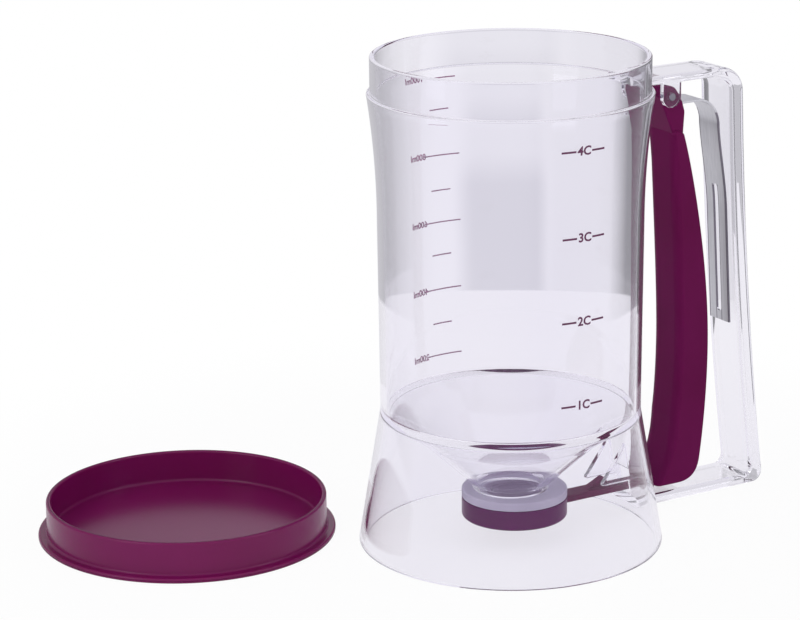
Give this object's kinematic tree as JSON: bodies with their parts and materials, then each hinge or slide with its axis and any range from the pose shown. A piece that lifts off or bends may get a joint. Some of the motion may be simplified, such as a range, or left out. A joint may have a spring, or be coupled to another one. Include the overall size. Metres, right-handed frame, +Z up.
{
  "type": "batter dispenser",
  "caption": "Clear hopper on a flared stand, with a D handle, a squeeze lever that slides a sealed valve from under the outlet, and a press-on lid.",
  "frame": {"origin": "centre of the stand ring, on the table", "axes": "+Z up along the hopper's axis, +X towards the handle"},
  "size_m": [0.2755, 0.1903, 0.19],
  "materials": {
    "clear_plastic": "gloss",
    "plum_plastic": "gloss",
    "plum_lid": "gloss",
    "silicone": "matte",
    "spring_steel": "brushed"
  },
  "bodies": {
    "container": {"container": "clear_plastic", "pivot_pin": "spring_steel", "leaf_spring": "spring_steel"},
    "trigger": {"trigger_lever": "plum_plastic", "valve_cup": "plum_plastic", "valve_seal": "silicone"},
    "lid": {"lid": "plum_lid"}
  },
  "joints": [
    {"name": "trigger_pivot", "type": "hinge", "parent": "container", "child": "trigger", "pos_m": [0.0667, 0, 0.1677], "axis": [0, -1, 0], "range_deg": [0, 6], "stiffness_Nm_per_rad": 3, "springref_deg": -2.86, "deforming": ["leaf_spring"]},
    {"name": "lid_lift", "type": "slide", "parent": "container", "child": "lid", "axis": [0, 0, 1], "range_m": [0, 0.25]}
  ]
}
